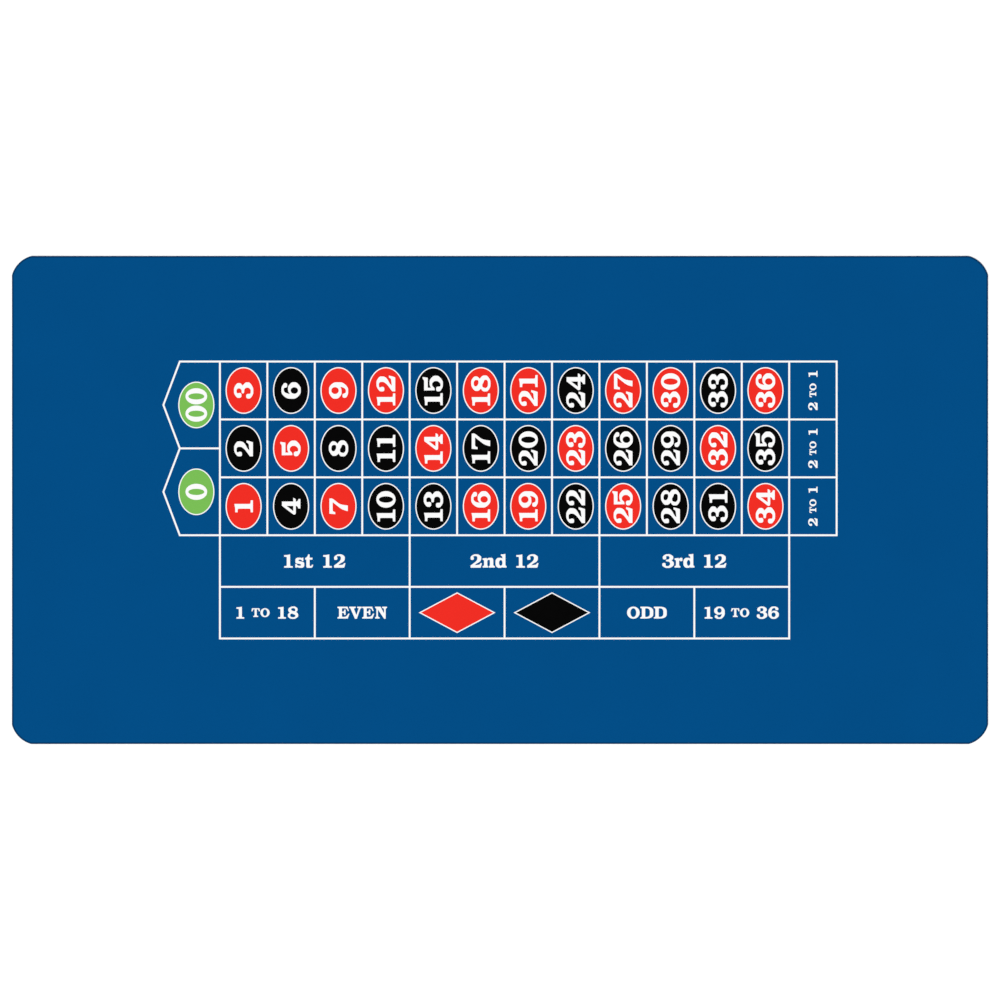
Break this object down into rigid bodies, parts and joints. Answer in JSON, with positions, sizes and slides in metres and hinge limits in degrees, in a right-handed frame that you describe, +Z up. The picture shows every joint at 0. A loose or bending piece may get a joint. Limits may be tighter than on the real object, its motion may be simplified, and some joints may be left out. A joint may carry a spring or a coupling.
{
  "type": "roulette layout mat",
  "caption": "Rollable roulette layout: a printed cloth face bonded to a thin rubber foam base, with numbered betting fields in a grid, two zero fields and even chance fields.",
  "frame": {"origin": "middle of the underside, on the surface the mat lies on", "axes": "+X along the rows of numbers, away from the zero fields; +Y across the mat, towards the row of numbers that starts at three; +Z up, out of the printed face"},
  "size_m": [1.8, 0.9, 0.0032],
  "materials": {
    "foam": "matte natural rubber foam with an embossed non-slip underside",
    "adhesive": "clear hot-melt film",
    "blue_cloth": "matte fine polyester knit, dyed blue",
    "white_ink": "matte screen-printed ink",
    "red_ink": "matte screen-printed ink",
    "black_ink": "matte screen-printed ink",
    "green_ink": "matte screen-printed ink"
  },
  "bodies": {
    "root": {"foam_base": "foam", "bond_film": "adhesive", "face_cloth": "blue_cloth", "grid_lines": "white_ink", "zero_frame": "white_ink", "red_ovals": "red_ink", "black_ovals": "black_ink", "green_ovals": "green_ink", "red_oval_rims": "white_ink", "black_oval_rims": "white_ink", "green_oval_rims": "white_ink", "zero_numerals": "white_ink", "first_dozen_numerals": "white_ink", "second_dozen_numerals": "white_ink", "third_dozen_numerals": "white_ink", "first_dozen_caption": "white_ink", "second_dozen_caption": "white_ink", "third_dozen_caption": "white_ink", "column_captions": "white_ink", "low_caption": "white_ink", "even_caption": "white_ink", "odd_caption": "white_ink", "high_caption": "white_ink", "red_diamond": "red_ink", "black_diamond": "black_ink", "red_diamond_rim": "white_ink", "black_diamond_rim": "white_ink"}
  },
  "joints": []
}
